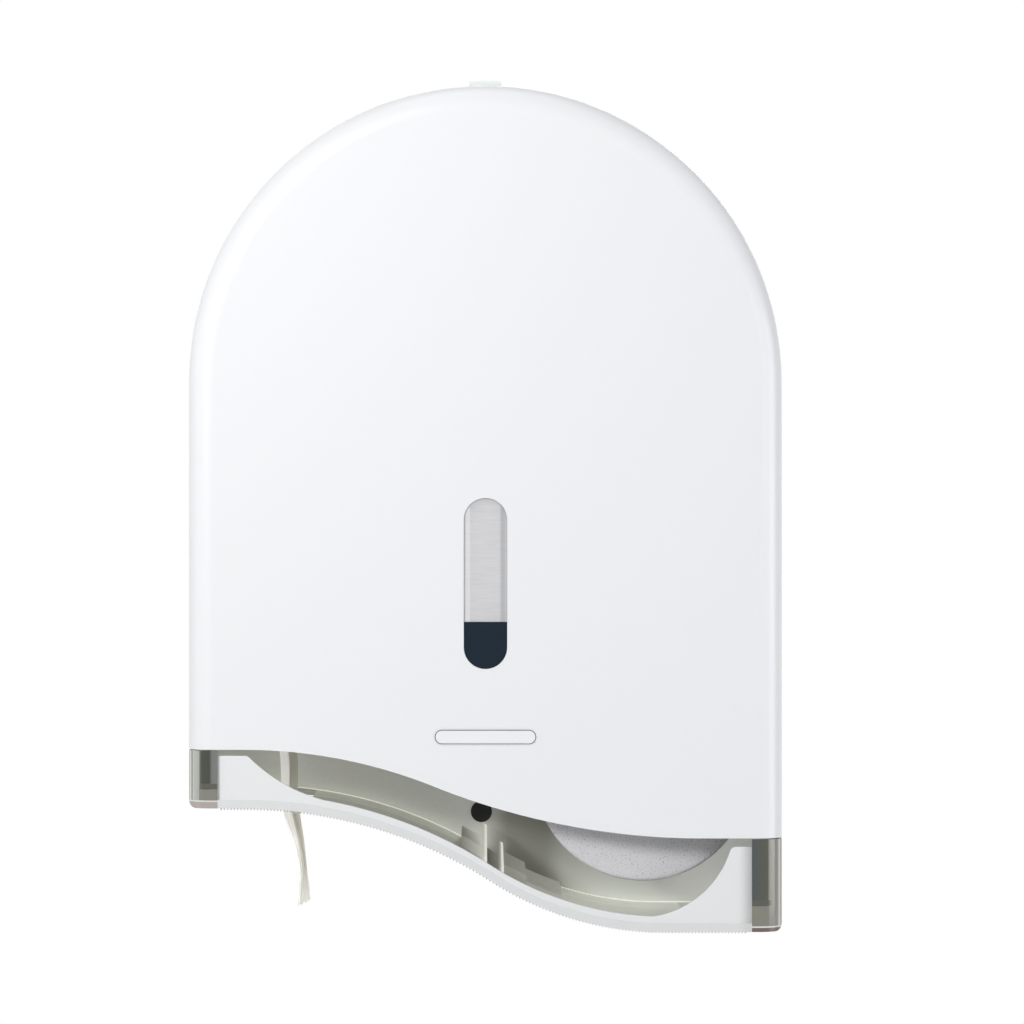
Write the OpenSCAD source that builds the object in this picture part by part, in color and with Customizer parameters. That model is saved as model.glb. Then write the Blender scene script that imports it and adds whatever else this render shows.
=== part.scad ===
// Wall dispenser for a jumbo roll of toilet paper and the stub roll under it.
// Every sub-part is drawn lying on its back: x to the right, y up the wall and
// z out from the wall. stand() turns it upright, so the finished part has +Z up,
// its front towards -Y and the wall plane at y = 0. The origin is the centre of
// the dome on the wall plane, which is also the centre of the four wall holes.

/* [Casing] */
// Width over the cover
body_w = 286.6; // [255:0.1:345]
// Depth from the wall to the front of the cover
body_d = 130; // [120:1:160]
// Drop from the centre of the dome to the lowest edge
body_drop = 266; // [246:1:320]
// Wall of the cover
cover_t = 2.8; // [2:0.1:4]
// Wall of the smoky tray
tray_t = 3; // [2:0.1:4]
// Thickness of the back plate
plate_t = 3; // [2.5:0.1:5]
// Radius of the front edge of the cover and tray
edge_r = 12; // [6:0.5:16]
// Radius of the two bottom corners
corner_r = 4; // [1:0.5:8]
// Gap between the closed cover and what it closes on
cover_gap = 0.5; // [0.3:0.1:1]

/* [Wave edges] */
// Height of the cover's left lower corner above the bottom
cover_rise_left = 89; // [70:1:100]
// Height of the cover's right lower corner above the bottom
cover_rise_right = 46.4; // [30:0.1:60]
// Height of the tear edge's left end above the bottom
tear_rise = 59.4; // [40:0.1:70]
// Distance from the left side to the crest of both waves
crest_inset = 27.1; // [15:0.1:40]
// Distance from the right side to the bowl of the cover's wave
cover_bowl_inset = 38.5; // [25:0.1:60]
// Distance from the right side to the bowl of the tear wave
tear_bowl_inset = 56.3; // [40:0.1:70]
// Share of the cover's wave that is its hump
cover_hump = 0.412; // [0.3:0.01:0.7]
// Share of the tear wave that is its hump
tear_hump = 0.584; // [0.3:0.01:0.7]

/* [Apron and tear edge] */
// Thickness of the tray floor
floor_t = 3; // [2:0.1:4]
// Width of the smoky corner left of the apron
corner_left_w = 14.5; // [10:0.1:20]
// Width of the smoky corner right of the apron
corner_right_w = 15.2; // [10:0.1:20]
// Height of the apron's band above the lip's foot
band_h = 7.2; // [6:0.1:12]
// Height of the apron's lip
lip_h = 4.1; // [3:0.1:6]
// How far the apron's plate lies behind the corners
apron_recess = 1.4; // [0.4:0.1:2]
// Thickness of the apron's plate
apron_t = 2.6; // [2:0.1:4]
// Top of the apron's left ear below the cover's left corner
ear_left_drop = 3; // [2:0.1:8]
// Top of the apron's right ear below the cover's right corner
ear_right_drop = 4.1; // [2:0.1:8]
// Radius of the left scoop in the apron
scoop_left_r = 79; // [60:1:90]
// Radius of the right scoop in the apron
scoop_right_r = 46; // [35:1:50]
// Radius of the ears' inner corners
ear_round = 3; // [1:0.1:5]
// Depth of the saw teeth
tooth_h = 1.4; // [0.5:0.1:2]
// Distance from tooth to tooth
tooth_pitch = 1.6; // [1.2:0.1:3]
// Thickness of the tear strip
strip_t = 1.2; // [0.8:0.1:2]

/* [Rolls] */
// Width of the paper
paper_w = 95; // [85:1:120]
// Gap between the wall and the back of the rolls
roll_back_gap = 12; // [11:0.5:14]
// Gap between the main roll and the cover's inside
roll_side_gap = 13.5; // [8:0.1:20]
// Gap between the stub roll and the tray's side
stub_side_gap = 10.8; // [6:0.1:15]
// Gap between the stub roll and the tray's floor
stub_floor_gap = 19.5; // [12:0.5:30]
// Gap between the two rolls
between_rolls = 24; // [15:0.5:40]
// Bore radius of the card core
core_r = 28; // [25:0.5:38]
// Wall of the card core
core_t = 2; // [1:0.1:3]
// Radius of each axle
axle_r = 15; // [10:0.5:20]
// Radial clearance of a running fit
running = 0.05; // [0.02:0.01:0.1]
// Thickness of the paper tail
tail_t = 0.5; // [0.3:0.1:1]
// Length of tail that hangs below the tear edge
tail_out = 44; // [30:1:70]
// Slant of the tail from upright, in degrees
tail_slant = 10; // [5:1:14]

/* [Window and lock] */
// Width of the window and button slot
slot_w = 20.9; // [16:0.1:24]
// Top of the slot below the dome's centre
slot_top = 56; // [40:1:70]
// Length of the slot
slot_l = 82.2; // [70:0.1:90]
// Length of the button's part of the slot
button_l = 22.6; // [20:0.1:26]
// Gap all round the lens and button in the slot
slot_gap = 0.25; // [0.15:0.05:0.5]
// Travel of the button
button_travel = 3; // [2:0.1:3.5]
// Arm of the latch that the button moves
crank_arm = 10; // [9:0.1:12]
// Reach of the latch's hook behind its pin
hook_reach = 16; // [14:0.5:18]
// Length of the blank label
label_w = 49.5; // [30:0.5:70]
// Height of the blank label
label_h = 7.7; // [5:0.1:12]
// Gap between the label and the cover's edge under its middle
label_lift = 28.8; // [15:0.1:40]
// Turns of the button's spring
spring_turns = 7; // [4:1:9]
// Wire radius of the button's spring
wire_r = 0.4; // [0.3:0.05:0.5]

/* [Hinge and fixings] */
// Height of the hinge pin above the dome's crown
hinge_lift = 6; // [5.6:0.1:8]
// Distance of the hinge pin from the wall
hinge_out = 9; // [8.5:0.1:11]
// Radius of the hinge pin
hinge_r = 1.7; // [1.5:0.1:2.2]
// Width of the hinge block
block_w = 16.3; // [12:0.1:24]
// Spacing of the wall holes across
hole_span_x = 150; // [110:1:180]
// Spacing of the wall holes up the wall
hole_span_y = 190; // [120:1:210]
// Radius of the wall holes
wall_hole_r = 2.75; // [2:0.05:4]
// Radius of a screw's shank
screw_r = 1.5; // [1:0.1:2]

/* [Hidden] */

$fn = 96;
far = 600;
eps = 0.01;
wave_steps = 90;

// Casing
half_w = body_w / 2;
front_z = body_d;
cover_in = front_z - cover_t;
tray_in = front_z - tray_t;

// Waves: crest x and y, bowl x and y, share that is hump
crest_x = crest_inset - half_w;
tear_wave = [crest_x, tear_rise - body_drop, half_w - tear_bowl_inset, -body_drop, tear_hump];
cover_wave = [crest_x, cover_rise_left - body_drop,
    half_w - cover_bowl_inset, cover_rise_right - body_drop, cover_hump];
floor_low = tooth_h;
floor_top = tooth_h + floor_t;

// Apron
apron_left = corner_left_w - half_w;
apron_right = half_w - corner_right_w;
apron_front = front_z - apron_recess;
apron_back = apron_front - apron_t;
strip_front = apron_back - 2.6;
strip_back = strip_front - strip_t;
ear_left_top = cover_wave[1] - ear_left_drop;
ear_right_top = cover_wave[3] - ear_right_drop;
scoop_left = [crest_x + 58.3, tear_wave[1] + 81.7];
scoop_right = [tear_wave[2] - 13.1, tear_wave[3] + 54.2];

// Rolls: the main roll is as large as the casing takes, and the stub roll
// fills the corner between it, the tray's floor and the tray's right side
main_r = half_w - cover_t - roll_side_gap;
roll_z0 = roll_back_gap;
roll_z1 = roll_z0 + paper_w;
paper_in_r = core_r + core_t + 0.1;
stub_a = half_w - tray_t - stub_side_gap;
stub_b = body_drop - floor_top - stub_floor_gap;
stub_reach = main_r + between_rolls;
stub_s = stub_a + stub_b + stub_reach;
stub_r = stub_s - sqrt(stub_s * stub_s - stub_a * stub_a - stub_b * stub_b + stub_reach * stub_reach);
stub_pos = [stub_a - stub_r, stub_r - stub_b];

// Roll carriers, axles and caps
flange_r = 30;
flange_t = 3;
flange_z = plate_t + flange_t;
carrier_z0 = flange_z + 1;
carrier_z1 = roll_z1 + 1.5;
carrier_disc_r = 38;
carrier_disc_t = 2;
carrier_wall = 2.4;
carrier_out_r = core_r - 0.15;
carrier_ribs = 6;
cap_gap = 0.5;
axle_wall = 4;
axle_end_t = 9;
axle_pilot = 8.5;
cap_z0 = carrier_z1 + cap_gap;
cap_t = 3;
cap_r = axle_r + 4;
flange_screw_r = 24;

// Exit slots for the paper
slot_z0 = roll_z0 - 2;
slot_z1 = roll_z1 + 3;
exit_left = [crest_x + 6.3, crest_x + 30.3];
exit_right = [half_w - 45.3, half_w - 21.3];

// Rim inside the cover
rim_gap = 2.7;
rim_t = 2;
rim_h = 12;
rim_r = half_w - cover_t - rim_gap;
rim_end = cover_wave[1] + 14;

// Fixings
pilot_r = screw_r + 0.05;
clear_r = screw_r + 0.15;
head_h = 1.8;
boss_r = 7;
boss_h = 3;
bite = plate_t - 0.6;
screw_bite = bite - 0.2;
cross_w = 0.7;
cross_l = 3.2;
cross_depth = 0.8;
plug_x = -2.1;
plug_lift = 18.35;
plug_cap_t = 1.4;
plug_foot = 0.4;
plug_pos = [plug_x, wave_y(plug_x, tear_wave) + floor_top + plug_lift];
plug_r = 5.4;
plug_stem_r = 3.5;

// Hinge
hinge_y = half_w + hinge_lift;
block_top = hinge_y + 7.2;
block_round = 4.5;
block_screw_y = hinge_y + 4;
block_screw_x = 4.5;
block_screw_r = 1.25;
lug_w = 7.5;
lug_gap = 0.4;
lug_r = 4;
pin_half = block_w / 2 + lug_gap + lug_w + 1;

// Slot in the cover: the lock and its post hang under the main roll, so the
// slot comes down with them where a wider casing takes a larger roll
latch_below = 11.8;
post_rise = 19;
roll_post_gap = 4;
lock_drop = max(0, main_r + roll_post_gap + post_rise - latch_below - slot_l - slot_top);
slot_r = slot_w / 2;
slot_y1 = -slot_top - lock_drop;
slot_y0 = slot_y1 - slot_l;
split_y = slot_y0 + button_l;
button_y = slot_y0 + slot_r;
lens_flange = 2.2;
lens_flange_t = 1.5;
lens_recess = 0.6;

// Lock
latch_y = slot_y0 - latch_below;
latch_z = cover_in - 10.2;
peg_y = latch_y + crank_arm;
peg_r = 1.2;
latch_pin_r = 1.25;
hub_r = 3.2;
hub_half = 5.2;
cheek_t = 2.4;
cheek_gap = 0.4;
cheek_x0 = hub_half + cheek_gap;
cheek_x1 = cheek_x0 + cheek_t;
frame_t = 2;
frame_z1 = cover_in - 6;
frame_z0 = frame_z1 - frame_t;
frame_half = 21;
frame_top = split_y + 1;
frame_low = latch_y - 8;
stud_x = 17;
stud_ys = [split_y - 2.6, latch_y - 4.2];
stud_r = 3.2;
button_flange_t = 2;
button_flange = 0.9;
button_back = cover_in - 0.3 - button_flange_t;
cup_floor = button_back - 12;
spring_r = 3.2;
cup_in_r = spring_r + wire_r + 0.8;
cup_wall = 1.4;
arm_top = latch_y + 1;
arm_t = 3;
hook_tip = latch_z - hook_reach;
barb_l = 3;
barb_top = latch_y + 4;
arm_half = 4;
post_half = 8;
post_wall = 2.5;
post_top = latch_y + post_rise;
post_foot = 30;
post_foot_h = 20;
post_screw_x = 11.5;
lip_t = 3;
lip_low = arm_top + 0.7;
lip_back = hook_tip + barb_l + 0.5;
lip_front = lip_back + lip_t;

// Label
label_y1 = wave_y(0, cover_wave) + label_lift + label_h;
label_t = 0.4;

// Guide bridge: the x of each step, and how high each one stands at the back plate
bridge_x = [-12, -1.7, 6.5, 8.9, 20, 38];
bridge_h = [5.4, 13, 1.6, 9, 5, 2];
bridge_reach = [62, 80, 52];
rib_hollow_rise = 4;
rib_hollow_in = 10;
rib_t = 2.4;
rib_arc = 400;

// Lock button: two tongues carry the peg
tongue_x0 = 2.5;
tongue_t = 2;
tongue_x1 = tongue_x0 + tongue_t;
tongue_half = 2.5;
tongue_z0 = latch_z - peg_r - 0.5;
button_recess = 0.2;
fork_half = 2;
fork_slot = peg_r + 0.2;
fork_depth = fork_slot + 1.6;
frame_window = cheek_x0 - 0.1;
block_seat = hinge_out + block_round - 2;
tray_lug_t = 2.5;

// Tail: it leaves the roll's left side along a tangent
tail_gap = 0.4;
tail_top = [-(main_r + tail_gap + tail_t / 2) * cos(tail_slant), -main_r * sin(tail_slant)];
tail_y1 = wave_y(crest_x + 24, tear_wave) - tail_out;
tail_run = (tail_top[1] - tail_y1) / cos(tail_slant);

// Height of a wave at x: level, a hump, a bowl that meets it, and level again
function wave_y(x, w) =
    let (dx = w[2] - w[0], dy = w[1] - w[3])
    let (sum_r = (dx * dx + dy * dy) / (2 * dy))
    let (r1 = sum_r * w[4], r2 = sum_r * (1 - w[4]))
    x <= w[0] ? w[1] :
    x < w[0] + dx * w[4] ? w[1] - r1 + sqrt(r1 * r1 - (x - w[0]) * (x - w[0])) :
    x < w[2] ? w[3] + r2 - sqrt(r2 * r2 - (x - w[2]) * (x - w[2])) :
    w[3];

// The x of each corner along a wave
function wave_xs(w) = [for (i = [0:wave_steps]) w[0] + (w[2] - w[0]) * i / wave_steps];

// Turns a sub-part that lies on its back upright
module stand() {
    rotate([90, 0, 0]) children();
}

// Extrudes a drawing of height up and depth out, from x0 to x1
module along_x(x0, x1) {
    translate([x0, 0, 0]) rotate([90, 0, 90]) linear_extrude(x1 - x0) children();
}

// Everything below a wave, raised by lift
module below(w, lift) {
    polygon(concat([[-far, w[1] + lift]], [for (x = wave_xs(w)) [x, wave_y(x, w) + lift]],
        [[far, w[3] + lift], [far, -far], [-far, -far]]));
}

// Everything above a wave, raised by lift
module above(w, lift) {
    polygon(concat([[-far, w[1] + lift]], [for (x = wave_xs(w)) [x, wave_y(x, w) + lift]],
        [[far, w[3] + lift], [far, far], [-far, far]]));
}

// Dome on straight sides, with half width r, down to y = low
module dome(r, low) {
    circle(r = r);
    translate([-r, low]) square([2 * r, -low]);
}

// What a rounded bottom corner takes away at the origin, with its body towards +x and +y
module corner_bite(r) {
    difference() {
        translate([-1, -1]) square(r + 1);
        translate([r, r]) circle(r = r, $fn = 48);
    }
}

// Outline of the whole body, down to the foot of the tray
module body_outline() {
    difference() {
        dome(half_w, -body_drop);
        below(tear_wave, floor_low);
        translate([-half_w, tear_wave[1] + floor_low]) corner_bite(corner_r);
        translate([half_w, tear_wave[3] + floor_low]) mirror([1, 0]) corner_bite(corner_r);
    }
}

// Half of a section through the casing: out to half width r, z0 to z1, rounded at the front
module half_section(r, z0, z1, er) {
    translate([0, z0]) square([r, z1 - er - z0]);
    translate([0, z0]) square([r - er, z1 - z0]);
    translate([r - er, z1 - er]) circle(r = er, $fn = 64);
}

// The whole section, both halves
module full_section(r, z0, z1, er) {
    half_section(r, z0, z1, er);
    mirror([1, 0]) half_section(r, z0, z1, er);
}

// Straight prism of the casing's section, from y = top down to y = low
module prism(r, z0, z1, er, top, low) {
    translate([0, top, 0]) rotate([90, 0, 0]) linear_extrude(top - low) full_section(r, z0, z1, er);
}

// A pill with round ends: centre line x = 0, from y0 to y1
module pill(r, y0, y1) {
    translate([0, y0 + r]) circle(r = r);
    translate([0, y1 - r]) circle(r = r);
    translate([-r, y0 + r]) square([2 * r, y1 - y0 - 2 * r]);
}

// A cylinder out from the wall between two depths
module rod(pos, r, z0, z1) {
    translate([pos[0], pos[1], z0]) cylinder(r = r, h = z1 - z0);
}

// A screw whose head sits at depth seat and whose shank points to the wall
module screw(pos, seat, len, r = screw_r) {
    difference() {
        union() {
            rod(pos, r, seat - len, seat + eps);
            rod(pos, 2 * r, seat, seat + head_h);
        }
        for (size = [[cross_w, cross_l], [cross_l, cross_w]])
            translate([pos[0] - size[0] / 2, pos[1] - size[1] / 2, seat + head_h - cross_depth])
                cube([size[0], size[1], 1]);
    }
}

// Places shared by screws and their holes
wall_holes = [for (i = [-1, 1], j = [-1, 1]) [i * hole_span_x / 2, j * hole_span_y / 2]];
axle_places = [[0, 0], stub_pos];
axle_screw_places = [for (p = axle_places, a = [45:90:315]) p + flange_screw_r * [cos(a), sin(a)]];
keeper_screw_places = [for (i = [-1, 1], j = [-1, 1]) [i * post_screw_x, post_top - post_foot_h / 2 - 0.5 + j * 3.5]];
tray_lug = 13;
tray_lug_left = [-half_w + tray_t, tear_wave[1] + floor_top];
tray_lug_right = [half_w - tray_t - tray_lug, tear_wave[3] + floor_top];
tray_screw_places = [for (p = [tray_lug_left, tray_lug_right]) p + [tray_lug / 2, tray_lug / 2]];
ledge_t = 2.2;
ledge_z0 = slot_z1 + 3;
ledge_w = 9;
ledge_inset = 20.8;
ledge_left = [crest_x - 1 - ledge_w, tear_wave[1] + floor_top];
ledge_right = [half_w - ledge_inset - ledge_w, tear_wave[3] + floor_top];
ledge_screw_z = ledge_z0 + 4.5;
stud_places = [for (i = [-1, 1], y = stud_ys) [i * stud_x, y]];

module back_plate() {
    color([0.60, 0.60, 0.56]) stand() difference() {
        union() {
            linear_extrude(plate_t) body_outline();
            linear_extrude(plate_t) translate([-block_w / 2, 0]) square([block_w, block_top]);
            translate([0, 0, plate_t - eps]) linear_extrude(rim_h + eps) rim_outline();
            for (p = wall_holes) rod(p, boss_r, plate_t - eps, plate_t + boss_h);
        }
        for (p = wall_holes) rod(p, wall_hole_r, -1, plate_t + boss_h + 1);
        rod(plug_pos, plug_stem_r + 0.1, -1, plate_t + 1);
        for (p = concat(axle_screw_places, keeper_screw_places, tray_screw_places))
            rod(p, pilot_r, plate_t - bite, plate_t + 1);
        for (i = [-1, 1]) rod([i * block_screw_x, block_screw_y], block_screw_r + 0.05, plate_t - bite, plate_t + 1);
    }
}

// Stiffening rim that the cover closes over
module rim_outline() {
    difference() {
        dome(rim_r, rim_end);
        dome(rim_r - rim_t, rim_end - 1);
    }
}

module lower_tray() {
    color([0.45, 0.46, 0.42, 0.6]) stand() difference() {
        intersection() {
            prism(half_w, plate_t, front_z, edge_r, cover_wave[1] + 1, -body_drop);
            linear_extrude(far) tray_outline();
        }
        intersection() {
            prism(half_w - tray_t, plate_t - 1, tray_in, edge_r - tray_t, cover_wave[1] + 2, -body_drop);
            translate([0, 0, -1]) linear_extrude(far) above(tear_wave, floor_top);
        }
        // The apron's place, over and in front of the floor
        translate([apron_left, -body_drop - 1, strip_back])
            cube([apron_right - apron_left, body_drop, body_d]);
        // Exit slots
        for (e = [exit_left, exit_right])
            translate([e[0], -body_drop - 1, slot_z0])
                cube([e[1] - e[0], tear_rise + floor_top + 1 + 4, slot_z1 - slot_z0]);
        for (l = [ledge_left, ledge_right])
            translate([l[0] + ledge_w / 2, l[1] - floor_t + 0.6, ledge_screw_z])
                rotate([-90, 0, 0]) cylinder(r = pilot_r, h = floor_t);
    }
    color([0.45, 0.46, 0.42, 0.6]) stand() for (l = [tray_lug_left, tray_lug_right]) difference() {
        translate([l[0] - eps, l[1] - eps, plate_t]) cube([tray_lug + 2 * eps, tray_lug, tray_lug_t]);
        rod(l + [tray_lug / 2, tray_lug / 2], clear_r, plate_t - 1, plate_t + 4);
    }
}

// Outline of the tray between its foot and the cover's edge
module tray_outline() {
    difference() {
        body_outline();
        above(cover_wave, -cover_gap);
    }
}

module apron() {
    color([0.93, 0.93, 0.93]) stand() {
        translate([0, 0, apron_back]) linear_extrude(apron_t) apron_outline();
        translate([0, 0, strip_front]) linear_extrude(front_z - strip_front) lip_outline();
        for (l = [ledge_left, ledge_right]) difference() {
            translate([l[0], l[1], ledge_z0]) cube([ledge_w, ledge_t, apron_back + eps - ledge_z0]);
            translate([l[0] + ledge_w / 2, l[1] - 1, ledge_screw_z])
                rotate([-90, 0, 0]) cylinder(r = clear_r, h = ledge_t + 2);
        }
    }
}

// The plate: a band along the wave and an ear at each end
module apron_outline() {
    difference() {
        translate([apron_left, -far]) square([apron_right - apron_left, far]);
        below(tear_wave, floor_low);
        difference() {
            above(tear_wave, floor_low + band_h);
            ear([-far, scoop_left[0] - 17], ear_left_top, scoop_left, scoop_left_r);
            ear([scoop_right[0], far], ear_right_top, scoop_right, scoop_right_r);
        }
    }
}

// One ear: under the level top, beside the round scoop, with its corner rounded
module ear(xs, top, scoop, r) {
    side = xs[0] == -far ? -1 : 1;
    mid = [scoop[0] + side * sqrt((r + ear_round) ^ 2 - (scoop[1] - top + ear_round) ^ 2), top - ear_round];
    difference() {
        translate([xs[0], -far]) square([xs[1] - xs[0], far + top]);
        difference() {
            polygon([mid, [mid[0], far], scoop]);
            translate(mid) circle(r = ear_round);
        }
        translate(scoop) circle(r = r);
    }
}

// Bead along the foot of the apron, in front of the tear strip
module lip_outline() {
    difference() {
        translate([apron_left, -far]) square([apron_right - apron_left, far]);
        below(tear_wave, floor_low);
        above(tear_wave, floor_low + lip_h);
    }
}

// Saw-toothed strip behind the lip
module tear_strip() {
    x0 = apron_left + 0.5;
    x1 = apron_right - 0.5;
    teeth = floor((x1 - x0) / tooth_pitch);
    color([0.75, 0.76, 0.74]) stand() translate([0, 0, strip_back]) linear_extrude(strip_t)
        polygon(concat(
            [for (i = [0:teeth - 1], k = [0, 1]) let (x = x0 + (i + k / 2) * tooth_pitch)
                [x, wave_y(x, tear_wave) + (1 - k) * tooth_h]],
            [let (x = x0 + teeth * tooth_pitch) [x, wave_y(x, tear_wave) + tooth_h]],
            [for (i = [wave_steps + 8:-1:-4])
                let (x = min(x0 + teeth * tooth_pitch, max(x0, tear_wave[0] + (tear_wave[2] - tear_wave[0]) * i / wave_steps)))
                [x, wave_y(x, tear_wave) + floor_top - 0.2]]));
}

// Saddle between the two paper exits: two ribs, blocks and low pads on the floor
module guide_bridge() {
    color([0.55, 0.55, 0.50]) stand() {
        bridge_step(bridge_x[0], bridge_x[1] + eps, bridge_h[0], bridge_reach[0]);
        bridge_rib(bridge_x[1], bridge_h[1]);
        bridge_step(bridge_x[1] + rib_t - eps, bridge_x[2] + eps, bridge_h[2], slot_z1 - plate_t);
        bridge_rib(bridge_x[2], bridge_h[3]);
        bridge_step(bridge_x[3] - eps, bridge_x[4] + eps, bridge_h[4], bridge_reach[1]);
        bridge_step(bridge_x[4], bridge_x[5], bridge_h[5], bridge_reach[2]);
    }
}

// Pad on the floor between x0 and x1, height h over it, that runs out to depth reach
module bridge_step(x0, x1, h, reach) {
    translate([0, 0, plate_t]) linear_extrude(reach) bridge_slice(x0, x1, h);
}

// What lies over the floor between x0 and x1, up to height h
module bridge_slice(x0, x1, h) {
    difference() {
        translate([x0, -far]) square([x1 - x0, far]);
        below(tear_wave, floor_top);
        above(tear_wave, floor_top + h);
    }
}

// Upright rib, h high at the back plate, whose front edge falls in a hollow
module bridge_rib(x, h) {
    base = wave_y(x, tear_wave) + floor_top;
    difference() {
        bridge_step(x, x + rib_t, h, slot_z1 - plate_t);
        along_x(x - 1, x + rib_t + 1) translate([base + rib_hollow_rise + rib_arc, slot_z1 - rib_hollow_in])
            circle(r = rib_arc, $fn = 180);
    }
}

module hole_plug() {
    color([0.13, 0.13, 0.11]) stand() {
        rod(plug_pos, plug_stem_r, plug_foot, plate_t + eps);
        rod(plug_pos, plug_r, plate_t, plate_t + plug_cap_t);
    }
}

// Flanged axle that a roll's carrier turns on
module axle(pos) {
    difference() {
        union() {
            rod(pos, flange_r, plate_t, flange_z);
            rod(pos, axle_r, flange_z - eps, cap_z0);
        }
        rod(pos, axle_r - axle_wall, plate_t - 1, cap_z0 - axle_end_t);
        rod(pos, pilot_r, cap_z0 - axle_pilot, cap_z0 + 1);
        for (a = [45:90:315]) rod(pos + flange_screw_r * [cos(a), sin(a)], clear_r, plate_t - 1, flange_z + 1);
    }
}

module main_axle() {
    color([0.80, 0.80, 0.78]) stand() axle([0, 0]);
}

module stub_axle() {
    color([0.80, 0.80, 0.78]) stand() axle(stub_pos);
}

// Disc that keeps a carrier on its axle
module axle_cap(pos) {
    difference() {
        rod(pos, cap_r, cap_z0, cap_z0 + cap_t);
        rod(pos, clear_r, cap_z0 - 1, cap_z0 + cap_t + 1);
    }
}

module main_axle_cap() {
    color([0.25, 0.27, 0.30]) stand() axle_cap([0, 0]);
}

module stub_axle_cap() {
    color([0.25, 0.27, 0.30]) stand() axle_cap(stub_pos);
}

// Arm from the back plate that the latch hooks behind
module keeper_post() {
    color([0.62, 0.62, 0.58]) stand() difference() {
        union() {
            translate([-post_foot / 2, post_top - post_foot_h, plate_t]) cube([post_foot, post_foot_h, flange_t]);
            translate([-post_half, lip_low, plate_t]) cube([2 * post_half, post_top - lip_low, lip_front - plate_t]);
        }
        translate([post_wall - post_half, lip_low - 1, flange_z])
            cube([2 * (post_half - post_wall), post_top - post_wall - lip_low + 1, lip_back - flange_z]);
        for (p = keeper_screw_places) rod(p, clear_r, plate_t - 1, flange_z + 1);
    }
}

// Fixed knuckle over the crown of the dome
module hinge_block() {
    color([0.60, 0.63, 0.58, 0.7]) stand() difference() {
        along_x(-block_w / 2, block_w / 2) {
            translate([half_w + cover_gap, plate_t]) square([block_top - half_w - cover_gap, hinge_out - plate_t]);
            translate([hinge_y, plate_t]) square([block_top - hinge_y, hinge_out + block_round - plate_t]);
            translate([hinge_y, hinge_out]) circle(r = block_round);
        }
        along_x(-block_w, block_w) translate([hinge_y, hinge_out]) circle(r = hinge_r + running);
        for (i = [-1, 1]) {
            rod([i * block_screw_x, block_screw_y], block_screw_r + 0.15, plate_t - 1, far);
            rod([i * block_screw_x, block_screw_y], 2 * block_screw_r + 0.05, block_seat, far);
        }
    }
}

module hinge_pin() {
    color([0.75, 0.75, 0.77]) stand() along_x(-pin_half, pin_half)
        translate([hinge_y, hinge_out]) circle(r = hinge_r);
}

module hinge_screws() {
    color([0.72, 0.72, 0.74]) stand() for (i = [-1, 1])
        screw([i * block_screw_x, block_screw_y], block_seat, block_seat - plate_t + screw_bite, block_screw_r);
}

module axle_screws() {
    color([0.72, 0.72, 0.74]) stand() for (p = axle_screw_places) screw(p, flange_z, flange_t + screw_bite);
}

module cap_screws() {
    color([0.72, 0.72, 0.74]) stand() for (p = axle_places) screw(p, cap_z0 + cap_t, cap_t + 8);
}

module keeper_screws() {
    color([0.72, 0.72, 0.74]) stand() for (p = keeper_screw_places) screw(p, flange_z, flange_t + screw_bite);
}

module tray_screws() {
    color([0.72, 0.72, 0.74]) stand() for (p = tray_screw_places) screw(p, plate_t + tray_lug_t, tray_lug_t + screw_bite);
}

// Upright screws that hold the apron's ledges to the floor
module apron_screws() {
    color([0.72, 0.72, 0.74]) stand() for (l = [ledge_left, ledge_right])
        translate([l[0] + ledge_w / 2, l[1] + ledge_t, ledge_screw_z]) rotate([-90, 0, 0])
            screw([0, 0], 0, ledge_t + floor_t - 0.8);
}

module paper_tail() {
    color([0.86, 0.85, 0.82]) stand() translate([0, 0, roll_z0]) linear_extrude(paper_w)
        translate(tail_top) rotate(tail_slant) translate([-tail_t / 2, -tail_run]) square([tail_t, tail_run]);
}

module front_cover() {
    color([0.96, 0.96, 0.97]) stand() difference() {
        union() {
            rotate_extrude(angle = 180, $fn = 128) difference() {
                half_section(half_w, plate_t + cover_gap, front_z, edge_r);
                translate([-1, 0]) half_section(1 + half_w - cover_t, 0, cover_in, edge_r - cover_t);
            }
            difference() {
                prism(half_w, plate_t + cover_gap, front_z, edge_r, 0, -body_drop);
                prism(half_w - cover_t, 0, cover_in, edge_r - cover_t, 1, -body_drop - 1);
                translate([0, 0, -1]) linear_extrude(far) below(cover_wave, 0);
            }
            for (p = stud_places) rod(p, stud_r, frame_z1, cover_in + eps);
            for (s = [-1, 1]) along_x(s * (block_w / 2 + lug_gap + lug_w / 2) - lug_w / 2,
                s * (block_w / 2 + lug_gap + lug_w / 2) + lug_w / 2) {
                translate([hinge_y, hinge_out]) circle(r = lug_r);
                translate([half_w - 1.9, hinge_out - lug_r]) square([hinge_y - half_w + 1.9, 2 * lug_r]);
            }
        }
        along_x(-far, far) translate([hinge_y, hinge_out]) circle(r = hinge_r + running);
        translate([0, 0, cover_in - 1]) linear_extrude(cover_t + 2) pill(slot_r, slot_y0, slot_y1);
        translate([0, 0, front_z - label_t]) linear_extrude(1) label_outline(0.1);
        for (p = stud_places) rod(p, pilot_r, frame_z1 - 1, cover_in);
    }
}

// Blank label with round ends, grown by gap
module label_outline(gap) {
    translate([0, label_y1 - label_h / 2]) rotate(90)
        pill(label_h / 2 + gap, -label_w / 2 - gap, label_w / 2 + gap);
}

module label_plate() {
    color([0.90, 0.91, 0.93]) stand() translate([0, 0, front_z - label_t]) linear_extrude(label_t) label_outline(0);
}

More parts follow.
